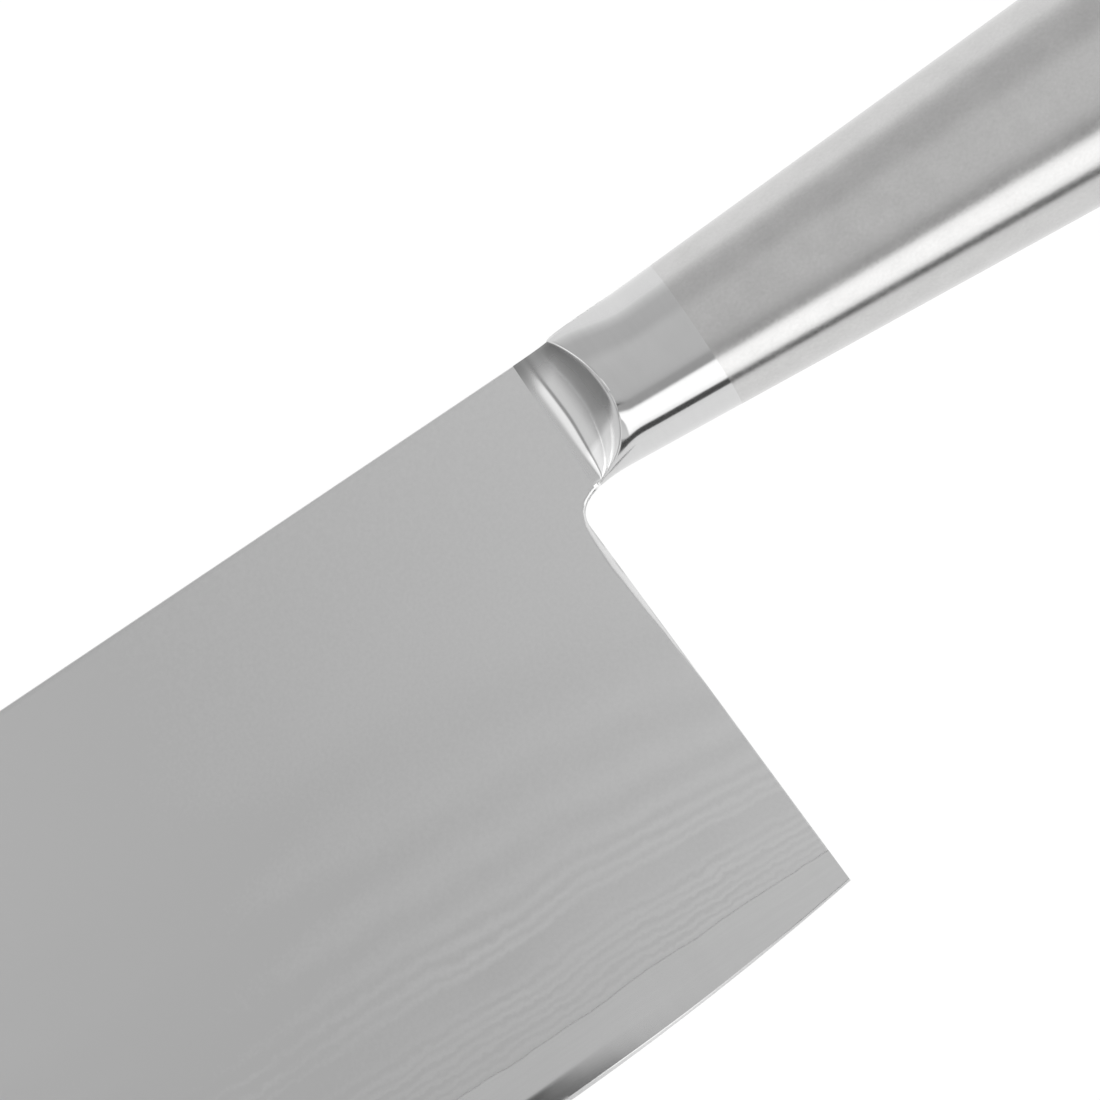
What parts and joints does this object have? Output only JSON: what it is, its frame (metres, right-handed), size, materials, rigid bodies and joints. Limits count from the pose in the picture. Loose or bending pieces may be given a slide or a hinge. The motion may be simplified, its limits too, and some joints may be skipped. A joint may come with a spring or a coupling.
{
  "type": "japanese cleaver",
  "caption": "Kitchen cleaver with a tall clad blade, polished hollow-ground bolster and flared hollow steel handle, lying on its right side.",
  "frame": {"origin": "middle of the bounding box at its lowest point, the underside of the handle as the knife lies on its right side", "axes": "+X from the front of the blade to the butt of the handle, +Y from the cutting edge to the spine, +Z out of the left face of the blade, so the blade's middle plane is level"},
  "size_m": [0.306, 0.0872, 0.0242],
  "materials": {
    "core_steel": "satin",
    "patterned_steel": "satin",
    "polished_steel": "polished",
    "weld_metal": "matte",
    "satin_steel": "satin",
    "sand": "matte"
  },
  "bodies": {
    "root": {"core_plate": "core_steel", "left_cladding": "patterned_steel", "right_cladding": "patterned_steel", "bolster": "polished_steel", "left_tang_weld": "weld_metal", "right_tang_weld": "weld_metal", "left_handle_shell": "satin_steel", "right_handle_shell": "satin_steel", "balance_sand": "sand"}
  },
  "joints": []
}
